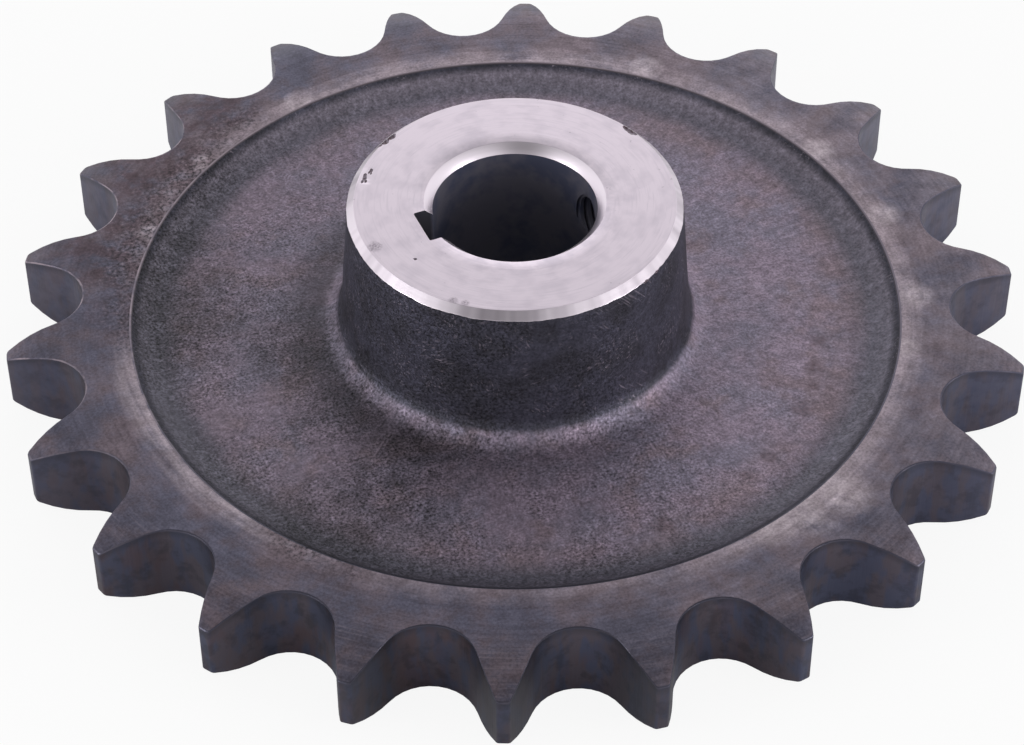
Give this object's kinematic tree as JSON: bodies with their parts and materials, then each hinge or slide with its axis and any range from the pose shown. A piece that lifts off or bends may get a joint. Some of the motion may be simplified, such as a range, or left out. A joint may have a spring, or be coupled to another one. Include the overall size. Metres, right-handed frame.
{
  "type": "chain sprocket",
  "caption": "Forged steel roller-chain sprocket with a recessed web, a hub on one side, a keyed bore and a set-screw hole.",
  "frame": {"origin": "on the bore's axis, in the plane of the flat back face", "axes": "+Z along the bore from the flat back face to the hub's end, -X out through the keyway, +X out through the set-screw hole"},
  "size_m": [0.1898, 0.188, 0.0412],
  "materials": {
    "scaled_steel": "heat-treated steel, dark brown-purple oxide scale, machined bright on the hub's end face and along the bore chamfer"
  },
  "bodies": {
    "root": {"sprocket": "scaled_steel"}
  },
  "joints": []
}
